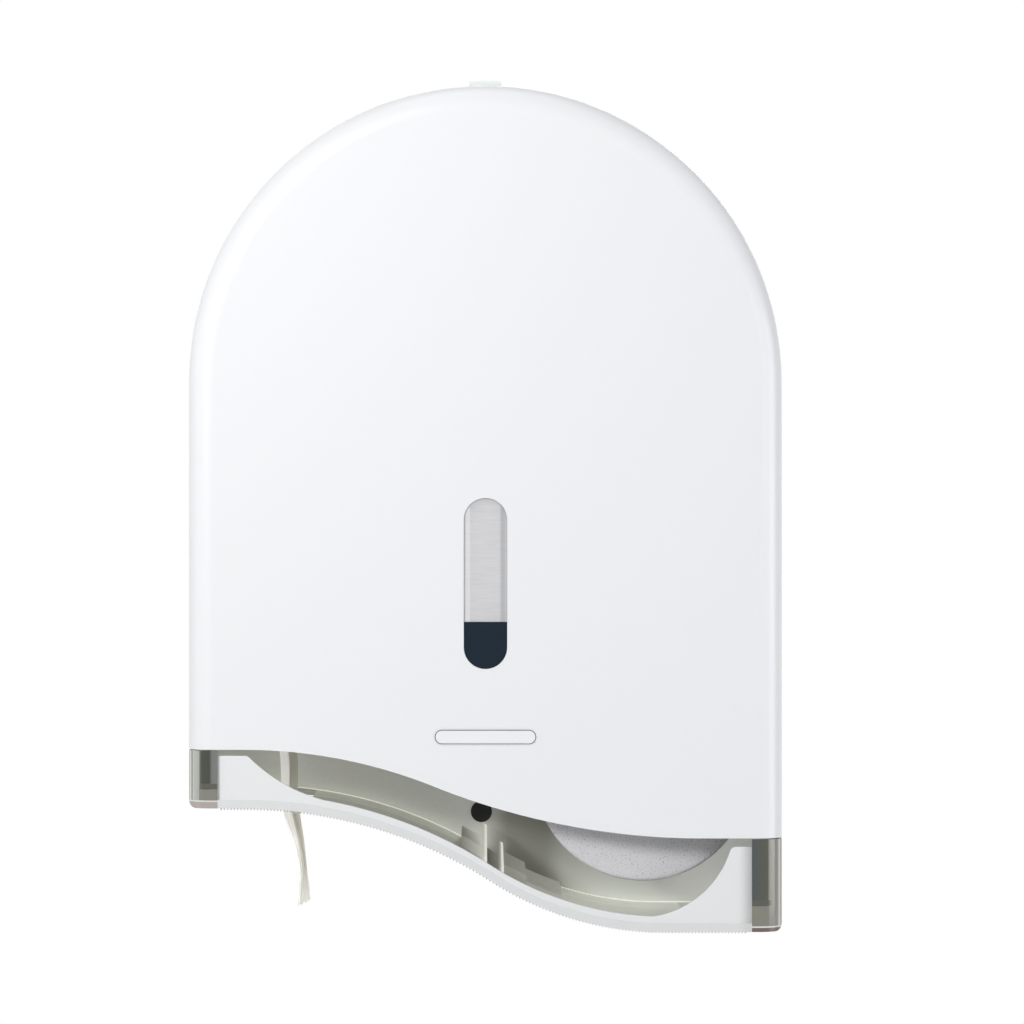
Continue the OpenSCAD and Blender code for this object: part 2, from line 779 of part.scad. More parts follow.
module window_lens() {
    color([0.80, 0.80, 0.82, 0.5]) stand() {
        translate([0, 0, cover_in - eps]) linear_extrude(cover_t - lens_recess + eps) difference() {
            pill(slot_r - slot_gap, slot_y0, slot_y1 - slot_gap);
            translate([-far, split_y + slot_gap / 2 - far]) square([2 * far, far]);
        }
        translate([0, 0, cover_in - lens_flange_t]) linear_extrude(lens_flange_t) difference() {
            pill(slot_r + lens_flange, slot_y0, slot_y1 + lens_flange);
            translate([-far, split_y + slot_gap / 2 - far]) square([2 * far, far]);
        }
    }
}

// Lower end of the slot, up to the lens, grown by gap
module button_outline(gap) {
    difference() {
        pill(slot_r + gap, slot_y0 - gap, slot_y1);
        translate([-far, split_y - slot_gap / 2]) square(2 * far);
    }
}

module lock_button() {
    color([0.15, 0.19, 0.23]) stand() {
        translate([0, 0, cover_in - 0.3 - eps])
            linear_extrude(front_z - button_recess - cover_in + 0.3 + eps) button_outline(-slot_gap);
        translate([0, 0, button_back]) linear_extrude(button_flange_t) {
            button_outline(button_flange);
            translate([-tongue_x1, peg_y - tongue_half]) square([2 * tongue_x1, button_y - peg_y]);
        }
        rod([0, button_y], spring_r - wire_r - 0.6, button_back - 5, button_back + eps);
        for (s = [-1, 1]) translate([s * (tongue_x0 + tongue_t / 2) - tongue_t / 2, peg_y - tongue_half, tongue_z0])
            cube([tongue_t, 2 * tongue_half, button_back + eps - tongue_z0]);
        along_x(-tongue_x0 - eps, tongue_x0 + eps) translate([peg_y, latch_z]) circle(r = peg_r);
    }
}

// Frame behind the cover that guides the spring and carries the latch
module lock_carrier() {
    color([0.70, 0.71, 0.72]) stand() difference() {
        union() {
            translate([-frame_half, frame_low, frame_z0]) cube([2 * frame_half, frame_top - frame_low, frame_t]);
            rod([0, button_y], cup_in_r + cup_wall, cup_floor - cup_wall, frame_z1);
            for (s = [-1, 1]) translate([s * (cheek_x0 + cheek_x1) / 2 - cheek_t / 2, latch_y - 4, latch_z - 3.4])
                cube([cheek_t, 8, frame_z0 + eps - latch_z + 3.4]);
        }
        rod([0, button_y], cup_in_r, cup_floor, frame_z1 + 1);
        translate([-frame_window, latch_y - hub_r - 0.6, frame_z0 - 1])
            cube([2 * frame_window, peg_y + tongue_half + 0.8 - latch_y + hub_r + 0.6, frame_t + 2]);
        along_x(-far, far) translate([latch_y, latch_z]) circle(r = latch_pin_r + 0.02, $fn = 48);
        for (p = stud_places) rod(p, clear_r, frame_z0 - 1, frame_z1 + 1);
    }
}

module carrier_screws() {
    color([0.72, 0.72, 0.74]) stand() for (p = stud_places) translate([p[0], p[1], frame_z0])
        rotate([180, 0, 0]) screw([0, 0], 0, frame_t + 5);
}

module latch_pin() {
    color([0.75, 0.75, 0.77]) stand() along_x(-cheek_x1 - 0.5, cheek_x1 + 0.5)
        translate([latch_y, latch_z]) circle(r = latch_pin_r, $fn = 48);
}

// Bell crank: the button's peg turns it, and its barb leaves the keeper
module latch_hook() {
    color([0.24, 0.26, 0.29]) stand() difference() {
        union() {
            along_x(-hub_half, hub_half) translate([latch_y, latch_z]) circle(r = hub_r, $fn = 64);
            along_x(-fork_half, fork_half)
                translate([latch_y, latch_z - fork_depth]) square([crank_arm + 2.4, 2 * fork_depth]);
            along_x(-arm_half, arm_half) {
                translate([arm_top - arm_t, hook_tip]) square([arm_t, latch_z - hook_tip]);
                translate([arm_top - eps, hook_tip]) square([barb_top - arm_top, barb_l]);
            }
        }
        along_x(-far, far) translate([latch_y, latch_z]) circle(r = latch_pin_r + running, $fn = 48);
        along_x(-far, far) translate([latch_y + 5, latch_z - fork_slot]) square([crank_arm, 2 * fork_slot]);
    }
}

// Points of the spring's wire: n turns of a helix between two depths
spring_z0 = cup_floor + wire_r + 0.05;
spring_z1 = button_back - wire_r - 0.05;
spring_rings = 8 * spring_turns;
function spring_point(i) = [spring_r * cos(45 * i), button_y + spring_r * sin(45 * i),
    spring_z0 + (spring_z1 - spring_z0) * i / spring_rings];
wire_sides = 6;
spring_pitch = (spring_z1 - spring_z0) / spring_turns;
spring_gap = min([for (i = [8:spring_rings]) norm(spring_point(i) - spring_point(i - 8))]) - 2 * wire_r;
echo(spring_least_gap_mm = spring_gap);

// One ring of the wire's skin, across the helix
function wire_ring(i) = [for (k = [0:wire_sides - 1]) let (a = 360 * k / wire_sides)
    spring_point(i) + wire_r * (cos(a) * [cos(45 * i), sin(45 * i), 0] + sin(a) * [0, 0, 1])];

module button_spring() {
    color([0.78, 0.78, 0.80]) stand() polyhedron(
        points = [for (i = [0:spring_rings]) each wire_ring(i)],
        faces = concat(
            [[for (k = [0:wire_sides - 1]) k]],
            [for (i = [0:spring_rings - 1], k = [0:wire_sides - 1]) let (n = (k + 1) % wire_sides)
                each [[i * wire_sides + k, (i + 1) * wire_sides + k, (i + 1) * wire_sides + n],
                      [i * wire_sides + k, (i + 1) * wire_sides + n, i * wire_sides + n]]],
            [[for (k = [wire_sides - 1:-1:0]) spring_rings * wire_sides + k]]));
}

// Spool that carries a card core and turns on its axle
module carrier(pos) {
    bore = axle_r + running;
    difference() {
        union() {
            rod(pos, bore + carrier_wall, carrier_z0, carrier_z1);
            difference() {
                rod(pos, carrier_out_r, roll_z0 - 0.1 - eps, carrier_z1);
                rod(pos, carrier_out_r - carrier_wall, roll_z0 - 1, carrier_z1 + 1);
            }
            rod(pos, carrier_disc_r, roll_z0 - 0.1 - carrier_disc_t, roll_z0 - 0.1);
            for (a = [0:360 / carrier_ribs:359]) translate([pos[0], pos[1], roll_z0 - 0.2]) rotate(a)
                translate([bore + 1, -1, 0]) cube([carrier_out_r - bore - 2, 2, carrier_z1 - roll_z0 - 2]);
        }
        rod(pos, bore, carrier_z0 - 1, carrier_z1 + 1);
    }
}

// A tube of card or of wound paper as wide as the roll
module sleeve(pos, inner, outer) {
    difference() {
        rod(pos, outer, roll_z0, roll_z1);
        rod(pos, inner, roll_z0 - 1, roll_z1 + 1);
    }
}

module main_carrier() {
    color([0.66, 0.67, 0.68]) stand() carrier([0, 0]);
}

module stub_carrier() {
    color([0.66, 0.67, 0.68]) stand() carrier(stub_pos);
}

module main_core() {
    color([0.72, 0.62, 0.48]) stand() sleeve([0, 0], core_r, core_r + core_t);
}

module stub_core() {
    color([0.72, 0.62, 0.48]) stand() sleeve(stub_pos, core_r, core_r + core_t);
}

module main_roll() {
    color([0.87, 0.86, 0.86]) stand() sleeve([0, 0], paper_in_r, main_r);
}

module stub_roll() {
    color([0.87, 0.86, 0.86]) stand() sleeve(stub_pos, paper_in_r, stub_r);
}

back_plate();
lower_tray();
apron();
tear_strip();
guide_bridge();
hole_plug();
main_axle();
stub_axle();
main_axle_cap();
stub_axle_cap();
keeper_post();
hinge_block();
hinge_pin();
hinge_screws();
axle_screws();
cap_screws();
keeper_screws();
tray_screws();
apron_screws();
paper_tail();
front_cover();
window_lens();
label_plate();
lock_carrier();
carrier_screws();
latch_pin();
button_spring();
lock_button();
latch_hook();
main_carrier();
main_core();
main_roll();
stub_carrier();
stub_core();
stub_roll();
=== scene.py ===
# %% [markdown]
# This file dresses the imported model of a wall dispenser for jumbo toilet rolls.
# The model comes as a fixed frame: its parts stay where they are, and each one gets
# a finish made of shader nodes. Paper is soft and a spring changes its length, so the
# tail, the two rolls and the button's spring are modelled again here and stand in for
# the plain solids.

# %% Load the frame
import math

import bmesh
import bpy
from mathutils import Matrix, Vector


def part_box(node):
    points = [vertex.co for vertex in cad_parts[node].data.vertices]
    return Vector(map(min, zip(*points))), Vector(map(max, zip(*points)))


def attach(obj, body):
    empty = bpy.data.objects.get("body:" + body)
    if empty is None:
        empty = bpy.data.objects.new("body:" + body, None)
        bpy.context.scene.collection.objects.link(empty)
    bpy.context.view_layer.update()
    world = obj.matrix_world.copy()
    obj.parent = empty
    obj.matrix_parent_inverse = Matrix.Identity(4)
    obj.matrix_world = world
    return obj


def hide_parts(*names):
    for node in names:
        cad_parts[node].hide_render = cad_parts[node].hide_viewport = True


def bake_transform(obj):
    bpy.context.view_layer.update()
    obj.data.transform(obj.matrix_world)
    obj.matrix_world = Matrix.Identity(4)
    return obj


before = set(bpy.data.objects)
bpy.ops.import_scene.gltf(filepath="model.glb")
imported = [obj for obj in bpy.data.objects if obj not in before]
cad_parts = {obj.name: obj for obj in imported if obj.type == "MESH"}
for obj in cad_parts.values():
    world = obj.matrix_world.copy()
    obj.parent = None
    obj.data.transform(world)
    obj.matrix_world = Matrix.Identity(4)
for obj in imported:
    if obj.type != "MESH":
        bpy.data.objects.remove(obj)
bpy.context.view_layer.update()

scene = bpy.context.scene
print("parts in the frame:", len(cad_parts))

# %% [markdown]
# The dispenser was photographed from straight in front and far away: its sides don't
# show, and the floor of the tray is only just seen from above. A long lens two metres
# off, level with the middle of the cover, gives that view. A small sideways shift puts
# the object left of the middle of the picture.

# %% Camera
CAMERA_AT = (0, -2.130, -0.0627)

lens = bpy.data.cameras.new("camera")
lens.lens = 146.3
lens.sensor_width = 36
lens.shift_x = 0.0259
lens.clip_end = 50
camera = bpy.data.objects.new("camera", lens)
camera.location = CAMERA_AT
camera.rotation_euler = (math.radians(90), 0, 0)
scene.collection.objects.link(camera)
scene.camera = camera
scene.view_settings.view_transform = "Standard"
print("camera at", tuple(round(c, 3) for c in camera.location))

# %% [markdown]
# Shader maths is easier to read as Python. A Wire wraps an output socket, and its
# operators add Math nodes, so that 1 - mask or x * 3 can be written as they stand.

# %% Wires
class Wire:
    """An output socket that can stand in a Python expression."""

    def __init__(self, net, socket):
        self.net = net
        self.socket = socket

    def maths(self, operation, *values):
        return self.net.add("ShaderNodeMath", {"operation": operation}, dict(enumerate(values)))

    def __add__(self, other):
        return self.maths("ADD", self, other)

    def __sub__(self, other):
        return self.maths("SUBTRACT", self, other)

    def __rsub__(self, other):
        return self.maths("SUBTRACT", other, self)

    def __mul__(self, other):
        return self.maths("MULTIPLY", self, other)

    def __pow__(self, other):
        return self.maths("POWER", self, other)

    def __abs__(self):
        return self.maths("ABSOLUTE", self)

    __radd__ = __add__
    __rmul__ = __mul__


print("wires are ready")

# %% [markdown]
# A Net owns one material's nodes. Its add method makes any node, sets it up and links
# what comes in, and the shorter methods after it are the few patterns that this object
# needs again and again: noise, a smooth step, a band, a bump and the finished skin.

# %% Nets
# Sockets of the Mix node for colours. It has others of the same names, so they go by number
MIX_MASK, MIX_FIRST, MIX_SECOND, MIX_RESULT = 0, 6, 7, 2


class Net:
    """The nodes of one material."""

    def __init__(self, name):
        self.material = bpy.data.materials.new(name)
        self.material.use_nodes = True
        self.tree = self.material.node_tree
        self.tree.nodes.clear()

    def add(self, kind, settings=None, values=None, out=0):
        """Adds a node, sets it up, fills its sockets and returns one of its outputs."""
        node = self.tree.nodes.new(kind)
        for key, value in (settings or {}).items():
            setattr(node, key, value)
        for key, value in (values or {}).items():
            socket = node.inputs[key]
            if isinstance(value, Wire):
                self.tree.links.new(value.socket, socket)
            else:
                socket.default_value = value
        return Wire(self, node.outputs[out]) if node.outputs else None

    def vector(self):
        """Object coordinates, which stay with a piece when it moves."""
        return self.add("ShaderNodeTexCoord", out="Object")

    def place(self):
        """Object coordinates: the vector, and its x, y and z."""
        vector = self.vector()
        split = self.add("ShaderNodeSeparateXYZ", None, {0: vector}).socket.node
        return vector, [Wire(self, output) for output in split.outputs]

    def noise(self, vector, scale, detail=2.0):
        return self.add("ShaderNodeTexNoise", None,
                        {"Vector": vector, "Scale": scale, "Detail": detail})

    def stretch(self, vector, scale):
        return self.add("ShaderNodeMapping", None, {"Vector": vector, "Scale": scale})

    def mix(self, mask, first, second):
        """One colour turning into another where the mask goes from 0 to 1."""
        first, second = (paint if isinstance(paint, Wire) else (*paint, 1)
                         for paint in (first, second))
        return self.add("ShaderNodeMix", {"data_type": "RGBA"},
                        {MIX_MASK: mask, MIX_FIRST: first, MIX_SECOND: second}, MIX_RESULT)

    def ramp(self, value, low, high, low_to=0.0, high_to=1.0):
        """A smooth step from low_to to high_to while value goes from low to high."""
        painted_end_shade = (value, low, high, low_to, high_to)
        return self.add("ShaderNodeMapRange", {"interpolation_type": "SMOOTHSTEP"},
                        dict(enumerate(painted_end_shade)))

    def band(self, value, centre, half, soft):
        """1 within half of centre, fading to 0 over soft."""
        return self.ramp(abs(value - centre), half, half + soft, 1.0, 0.0)

    def stripes(self, value, reach, stops):
        """Colours along value, from 0 to reach. Each stop is a place and a colour."""
        wire = self.add("ShaderNodeValToRGB", None, {0: value * (1 / reach)})
        elements = wire.socket.node.color_ramp.elements
        for _ in stops[2:]:
            elements.new(1.0)
        for element, (place, colour) in zip(elements, stops):
            element.position = place / reach
            element.color = (*colour, 1)
        return wire

    def bump(self, height, depth, strength=1.0):
        return self.add("ShaderNodeBump", None,
                        {"Height": height, "Distance": depth, "Strength": strength})

    def skin(self, colour, roughness, normal=None, **steady):
        """Ends the net in a Principled shader and returns the material."""
        values = {"Base Color": colour, "Roughness": roughness}
        if normal:
            values["Normal"] = normal
        values.update({key.replace("_", " "): value for key, value in steady.items()})
        shader = self.add("ShaderNodeBsdfPrincipled", None, values)
        self.add("ShaderNodeOutputMaterial", None, {"Surface": shader})
        return self.material


def mm(value):
    """Millimetres in metres."""
    return value / 1000


def shaded(colour, share):
    """The colour with each channel times share."""
    return [min(1, channel * share) for channel in colour]


print("nets are ready")

# %% [markdown]
# The cover is white moulded plastic with a soft gloss. Real mouldings are never quite
# flat: the gloss wanders a little where the plastic cooled, and a very fine grain
# breaks up the highlights. Both are noise, one coarse and one fine.

# %% White moulded plastic
MOULD_GRAIN = 2600


def white_plastic(name, tint):
    net = Net(name)
    vector = net.vector()
    wander = net.noise(vector, 9, 3)
    grain = net.noise(vector, MOULD_GRAIN, 1)
    colour = net.mix(wander, tint, shaded(tint, 0.985))
    return net.skin(colour, 0.34 + wander * 0.10, net.bump(grain, mm(0.01), 0.2),
                    Coat_Weight=0.1)


cover_white = white_plastic("cover_white", (0.810, 0.818, 0.832))
print("white plastic:", cover_white.name)

# %% [markdown]
# The tear edge's cover strip, or apron, is the same plastic, but it was moulded apart
# and looks a shade greyer. Its upright plate rolls back at both ends, and the last few
# millimetres there are darkened with painted shade. The lip over the teeth stands further
# out and is darkened with painted shade too.

# %% Apron
EAR_LEFT, EAR_RIGHT = -0.1288, 0.1281
LIP_FROM, LIP_TO = -mm(129.1), -mm(129.6)


def apron_plastic(name, tint, end_left, end_right):
    net = Net(name)
    vector, (x, y, _) = net.place()
    grain = net.noise(vector, MOULD_GRAIN, 1)
    cloud = net.noise(vector, 11, 3)
    # Painted shade: the rolled-back ends of the plate and the lip over the teeth are darkened in
    # the colour.
    painted_end_shade = (net.ramp(x, end_right - mm(7), end_right - mm(0.5))
            + net.ramp(x, end_left + mm(2), end_left, 0, 0.4))
    painted_lip_shade = net.ramp(y, LIP_FROM, LIP_TO)
    plain = net.mix(painted_lip_shade, net.mix(cloud, tint, shaded(tint, 0.975)), shaded(tint, 0.89))
    colour = net.mix(painted_end_shade, plain, shaded(tint, 0.78))
    return net.skin(colour, 0.36 + cloud * 0.08, net.bump(grain, mm(0.01), 0.2),
                    Coat_Weight=0.1)


apron_low, apron_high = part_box("apron")
_, tray_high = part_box("lower_tray")
print("the apron reaches from", round(apron_low.x, 4), "to", round(apron_high.x, 4))
apron_white = apron_plastic("apron_white", (0.770, 0.780, 0.780), EAR_LEFT, EAR_RIGHT)

# %% [markdown]
# The back plate is matt grey plastic with the fine spark texture that a mould gives.
# Dust and scuffs make it a shade lighter in patches. It is paler on the right, which is
# painted light. Some light comes through the housing and the tray, so the low part of its
# inner face has a painted glow, less behind the bridge, where a painted shadow also darkens
# its colour. That glow is part of the finish, because light that really passed through thin
# plastic would take far longer to render. The guide bridge has a darker finish of its own,
# and a painted glow gives the edges of its two ribs painted highlights.

# %% Matt plastics
# The stops count millimetres from the back plate's left side
PLATE_HALF, PLATE_WIDTH = 143, 286
GLOW_STOPS = [(0, (0.135, 0.137, 0.130)), (123, (0.150, 0.152, 0.147)),
              (138, (0.165, 0.167, 0.164)), (155, (0.0, 0.0, 0.0)), (173, (0.0, 0.0, 0.0)),
              (198, (0.050, 0.053, 0.056)), (233, (0.090, 0.093, 0.094)),
              (258, (0.17, 0.172, 0.165)), (286, (0.17, 0.172, 0.165))]


def matt_plastic(name, tint, spark=1.0, painted_light_tint=None):
    """Matt plastic. Given a tint for the right, it is the back plate's, with painted light:
    paler on the right, a painted glow low inside and a painted shadow behind the bridge.
    """
    net = Net(name)
    vector, (x, y, z) = net.place()
    spots = net.noise(vector, 1500, 2)
    cloud = net.noise(vector, 14, 3)
    colour = net.mix(spots, shaded(tint, 0.90), shaded(tint, 1.08))
    glow = (0, 0, 0, 1)
    if painted_light_tint:
        # Painted shadow behind the bridge, and painted light: a paler right side and a glow on
        # the low inner face.
        low_inside = net.ramp(y, -mm(2.2), -mm(2.8)) * net.ramp(z, -0.15, -0.18)
        painted_bridge_shadow = net.band(x, 0.020, 0.008, 0.014) * low_inside * 0.55
        colour = net.mix(painted_bridge_shadow, colour, shaded(tint, 0.4))
        painted_light_colour = net.mix(spots, shaded(painted_light_tint, 0.92), painted_light_tint)
        colour = net.mix(net.ramp(x, 0.03, 0.07), colour, painted_light_colour)
        light = net.stripes(x * 1000 + PLATE_HALF, PLATE_WIDTH, GLOW_STOPS)
        glow = net.mix(low_inside, (0, 0, 0), light)
    scuffed = net.mix(net.ramp(cloud, 0.45, 0.75, 0.0, 0.18), colour, shaded(tint, 1.25))
    return net.skin(scuffed, 0.52 + cloud * 0.14, net.bump(spots, mm(0.05 * spark), 0.5),
                    Emission_Color=glow, Emission_Strength=1.0)


# The stops count millimetres from the bridge's left side, which is 12 mm left of centre
BRIDGE_LEFT, BRIDGE_WIDTH = 12, 50
RIB_PAINTED_LIGHT_STOPS = [(0, 0.08), (8, 0.28), (10.3, 0.34), (11.5, 0.45), (11.8, 0.62), (12.7, 0.62),
             (12.9, 0.0), (18.3, 0.10), (19.6, 0.28), (19.9, 0.62), (20.9, 0.62),
             (21.1, 0.13), (32, 0.18), (50, 0.21)]


def ribbed_plastic(name, tint):
    net = Net(name)
    vector, (x, _, _) = net.place()
    spots = net.noise(vector, 1500, 2)
    colour = net.mix(spots, shaded(tint, 0.90), shaded(tint, 1.08))
    stops = [(place, (share, share * 0.985, share * 0.90)) for place, share in RIB_PAINTED_LIGHT_STOPS]
    # Painted light: this glow gives the rib edges painted highlights and the slot between them
    # painted shade.
    glow = net.stripes(x * 1000 + BRIDGE_LEFT, BRIDGE_WIDTH, stops)
    return net.skin(colour, 0.5, net.bump(spots, mm(0.05), 0.5),
                    Emission_Color=glow, Emission_Strength=1.0)


back_grey = matt_plastic("back_grey", (0.72, 0.73, 0.66), 1.0, (0.88, 0.90, 0.85))
bridge_olive = matt_plastic("bridge_olive", (0.74, 0.74, 0.67))
bridge_ribbed = ribbed_plastic("bridge_ribbed", (0.23, 0.23, 0.20))
plug_black = matt_plastic("plug_black", (0.022, 0.026, 0.022))
spool_grey = matt_plastic("spool_grey", (0.48, 0.49, 0.48), 0.6)
cap_dark = matt_plastic("cap_dark", (0.035, 0.04, 0.05), 0.6)
print("matt plastics are ready")

# %% [markdown]
# The tray is smoky see-through plastic. The light that passes its floor is painted: the
# floor has a pale colour and a painted glow, and its back edge has a painted highlight,
# a thin bright line. The corners have painted shade: there the wall is seen edge on and
# the inside behind it is dark. Inside the corners a low box is lighter and a bar above it
# is darker. Along the outer edge the wall's thickness shows as brown, bright and dark
# lines, and the foot has a pink-brown band under a painted highlight, a bright line. The
# lines along the edge are painted light and shade of the wall seen edge on, so they are
# stripes of colour measured from the edge.

# %% Smoky plastic
FOOT_LEFT, FOOT_RIGHT = -0.2055, -0.2660
FRONT_FROM, FRONT_TO = -0.110, -0.113
SEAM_FROM, SEAM_TO = -0.0096, -0.0090
STRIPES_REACH = 15
LEFT_PAINTED_EDGE_LIGHT = [(0.0, (0.30, 0.25, 0.21)), (0.7, (0.30, 0.25, 0.21)), (0.95, (0.66, 0.65, 0.62)),
                (1.4, (0.66, 0.65, 0.62)), (1.65, (0.20, 0.19, 0.19)), (2.0, (0.22, 0.21, 0.20)),
                (2.5, (0.56, 0.56, 0.53)), (3.2, (0.44, 0.45, 0.42)), (5.2, (0.36, 0.37, 0.33)),
                (6.2, (0.045, 0.050, 0.034)), (10.6, (0.035, 0.042, 0.028)),
                (11.8, (0.15, 0.165, 0.15)), (15.0, (0.17, 0.185, 0.17))]
RIGHT_PAINTED_EDGE_LIGHT = [(0.0, (0.20, 0.17, 0.13)), (1.0, (0.20, 0.17, 0.13)), (1.3, (0.62, 0.60, 0.55)),
                 (2.0, (0.60, 0.58, 0.53)), (2.3, (0.28, 0.27, 0.24)), (2.6, (0.30, 0.29, 0.26)),
                 (3.0, (0.25, 0.238, 0.205)), (5.0, (0.215, 0.20, 0.168)),
                 (5.6, (0.18, 0.17, 0.135)), (7.0, (0.20, 0.19, 0.15)),
                 (7.6, (0.072, 0.078, 0.056)), (13.4, (0.060, 0.070, 0.060)),
                 (15.0, (0.05, 0.065, 0.075))]


def smoky_plastic(half, foot_left, foot_right):
    net = Net("smoky_tray")
    vector, (x, y, z) = net.place()
    grain = net.noise(net.stretch(vector, (1, 1, 0.12)), 420, 2)
    right = net.ramp(x, -0.01, 0.01)
    inset = (half - abs(x)) * 1000
    height = (z - foot_left - right * (foot_right - foot_left)) * 1000
    front = net.ramp(y, FRONT_FROM, FRONT_TO)
    # Painted light and shade of the wall seen edge on, as stripes measured from the edge.
    painted_edge_light = net.mix(right, net.stripes(inset, STRIPES_REACH, LEFT_PAINTED_EDGE_LIGHT),
                   net.stripes(inset, STRIPES_REACH, RIGHT_PAINTED_EDGE_LIGHT))
    core = net.ramp(inset, 5.4, 6.4)
    box_top = 9.6 + right * 4.4
    low_part = core * net.ramp(height, box_top, box_top - 0.4)
    boxes = net.mix(low_part, painted_edge_light, (0.21, 0.205, 0.17))
    bars = net.mix(core * net.band(height, box_top + 1.3, 1.1, 0.4), boxes,
                   (0.080, 0.085, 0.066))
    foot_tone = net.mix(right, (0.40, 0.35, 0.32), (0.14, 0.095, 0.088))
    footed = net.mix(net.ramp(height, 3.5, 3.2), bars, foot_tone)
    # Painted highlight: the bright line over the foot's band.
    painted_foot_highlight = net.mix(net.band(height, 3.75, 0.25, 0.2), footed, (0.70, 0.69, 0.67))
    # The inside's pale colour is painted light that passes the floor, and its back seam has a
    # painted highlight.
    inside = net.mix(grain, (0.39, 0.39, 0.345), (0.45, 0.45, 0.40))
    painted_seam_highlight = net.ramp(y, SEAM_FROM, SEAM_TO)
    clear = net.ramp(inset, 3.2, 4.2)
    wall = net.mix(clear, (0.16, 0.155, 0.135), net.mix(painted_seam_highlight, inside, (0.78, 0.78, 0.70)))
    # Painted light: the glow of light passing through the floor.
    painted_through_light = net.mix(right, (0.010, 0.010, 0.010), (0.140, 0.140, 0.125))
    painted_through_light = net.mix(painted_seam_highlight, painted_through_light, (0.40, 0.40, 0.36))
    glow = net.mix(front, net.mix(clear, (0, 0, 0), painted_through_light), (0, 0, 0))
    solid = net.ramp(front, 0, 1, 0.90, 0.97)
    return net.skin(net.mix(front, wall, painted_foot_highlight), 0.14 + grain * 0.08, Alpha=solid,
                    Coat_Weight=0.2, Emission_Color=glow, Emission_Strength=1.0)


smoky = smoky_plastic(tray_high.x, FOOT_LEFT, FOOT_RIGHT)
print("smoky plastic:", smoky.name, "for a tray of half width", round(tray_high.x, 4))

# %% [markdown]
# The window is clear plastic over the paper, so it looks like a pale veil with the
# turns of paper as fine level lines. It isn't made as refracting glass: a thin plate
# shifts nothing, and a see-through skin with a haze costs far less light. The left rim
# has a painted highlight and the right rim has painted shade.

# %% Clear plastics
WINDOW_HALF = mm(10.2)


def window_plastic(half_w):
    net = Net("window_clear")
    vector, (x, _, _) = net.place()
    lines = net.noise(net.stretch(vector, (0.06, 0.06, 1)), 1500, 3)
    veil = net.mix(lines, (0.86, 0.85, 0.87), (0.98, 0.97, 0.99))
    # Painted highlight on the left rim and painted shade on the right rim.
    painted_rim_highlight = net.band(x, mm(1.7) - half_w, mm(0.7), mm(0.7))
    painted_rim_shade = net.band(x, half_w - mm(1.9), mm(0.6), mm(1.2))
    shady = net.mix(painted_rim_shade * 0.65, veil, (0.42, 0.42, 0.43))
    rims = net.mix(painted_rim_highlight * 0.6, shady, (1.0, 1.0, 0.99))
    return net.skin(rims, 0.30 + lines * 0.06,
                    Alpha=0.48 + lines * 0.05 + painted_rim_highlight * 0.10 + painted_rim_shade * 0.12)


def hinge_plastic():
    net = Net("hinge_green")
    haze = net.noise(net.vector(), 60, 2)
    colour = net.mix(haze, (0.84, 0.89, 0.86), (0.74, 0.82, 0.77))
    # The constant emission is a painted glow: painted light that keeps the block pale.
    return net.skin(colour, 0.10 + haze * 0.06, Alpha=0.70 + haze * 0.05, Coat_Weight=0.3,
                    Emission_Color=(0.135, 0.125, 0.13, 1), Emission_Strength=1.0)


window_clear = window_plastic(WINDOW_HALF)
hinge_green = hinge_plastic()
print("clear plastics:", window_clear.name, hinge_green.name)

# %% [markdown]
# The lock button is navy satin plastic with a slight grain, and the latch behind it is
# nearly black. Fingers polish the button, so its gloss is uneven.

# %% Button and latch
def satin_plastic(name, tint, roughness):
    net = Net(name)
    vector = net.vector()
    grain = net.noise(vector, 2200, 1)
    wear = net.noise(vector, 90, 3)
    colour = net.mix(wear, tint, shaded(tint, 1.18))
    return net.skin(colour, roughness + wear * 0.08, net.bump(grain, mm(0.02), 0.3),
                    Specular_IOR_Level=0.08)


button_navy = satin_plastic("button_navy", (0.0105, 0.0185, 0.0290), 0.46)
latch_black = satin_plastic("latch_black", (0.025, 0.028, 0.034), 0.46)
print("satin plastics:", button_navy.name, latch_black.name)

# %% [markdown]
# A thin plate with rounded ends sits below the button. It is plain, with a fine dark
# line that runs round inside its edge. The line is a band of the distance from the
# plate's middle line.

# %% Label
LINE_INSET, LINE_HALF, LINE_SOFT = 0.00055, 0.00016, 0.00008


def label_finish(centre_z, half_w, half_h):
    net = Net("label_blank")
    vector, (x, _, z) = net.place()
    past = abs(x) - (half_w - half_h)
    off_x = past.maths("MAXIMUM", past, 0.0)
    off_z = z - centre_z
    reach = (off_x * off_x + off_z * off_z) ** 0.5
    line = net.band(reach, half_h - LINE_INSET, LINE_HALF, LINE_SOFT)
    grain = net.noise(vector, 1800, 1)
    plain = net.mix(grain, (0.80, 0.81, 0.83), (0.84, 0.85, 0.87))
    return net.skin(net.mix(line, plain, (0.035, 0.038, 0.045)), 0.30 + grain * 0.05)


label_low, label_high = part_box("label_plate")
label_blank = label_finish((label_low.z + label_high.z) / 2, (label_high.x - label_low.x) / 2,
                           (label_high.z - label_low.z) / 2)
print("label:", label_blank.name)

# %% [markdown]
# Screws, pins and the tear strip are bright steel. Brushing is noise drawn out along
# one direction, which both colours the metal and roughens it.

# %% Steel
def steel(name, tint, roughness, scale):
    net = Net(name)
    brushed = net.noise(net.stretch(net.vector(), scale), 900, 3)
    colour = net.mix(brushed, tint, shaded(tint, 0.8))
    return net.skin(colour, roughness + brushed * 0.12, net.bump(brushed, mm(0.02), 0.4),
                    Metallic=1.0)


screw_steel = steel("screw_steel", (0.62, 0.62, 0.64), 0.26, (1, 1, 1))
strip_steel = steel("strip_steel", (0.56, 0.57, 0.58), 0.34, (0.1, 1, 1))
print("steel:", screw_steel.name, strip_steel.name)

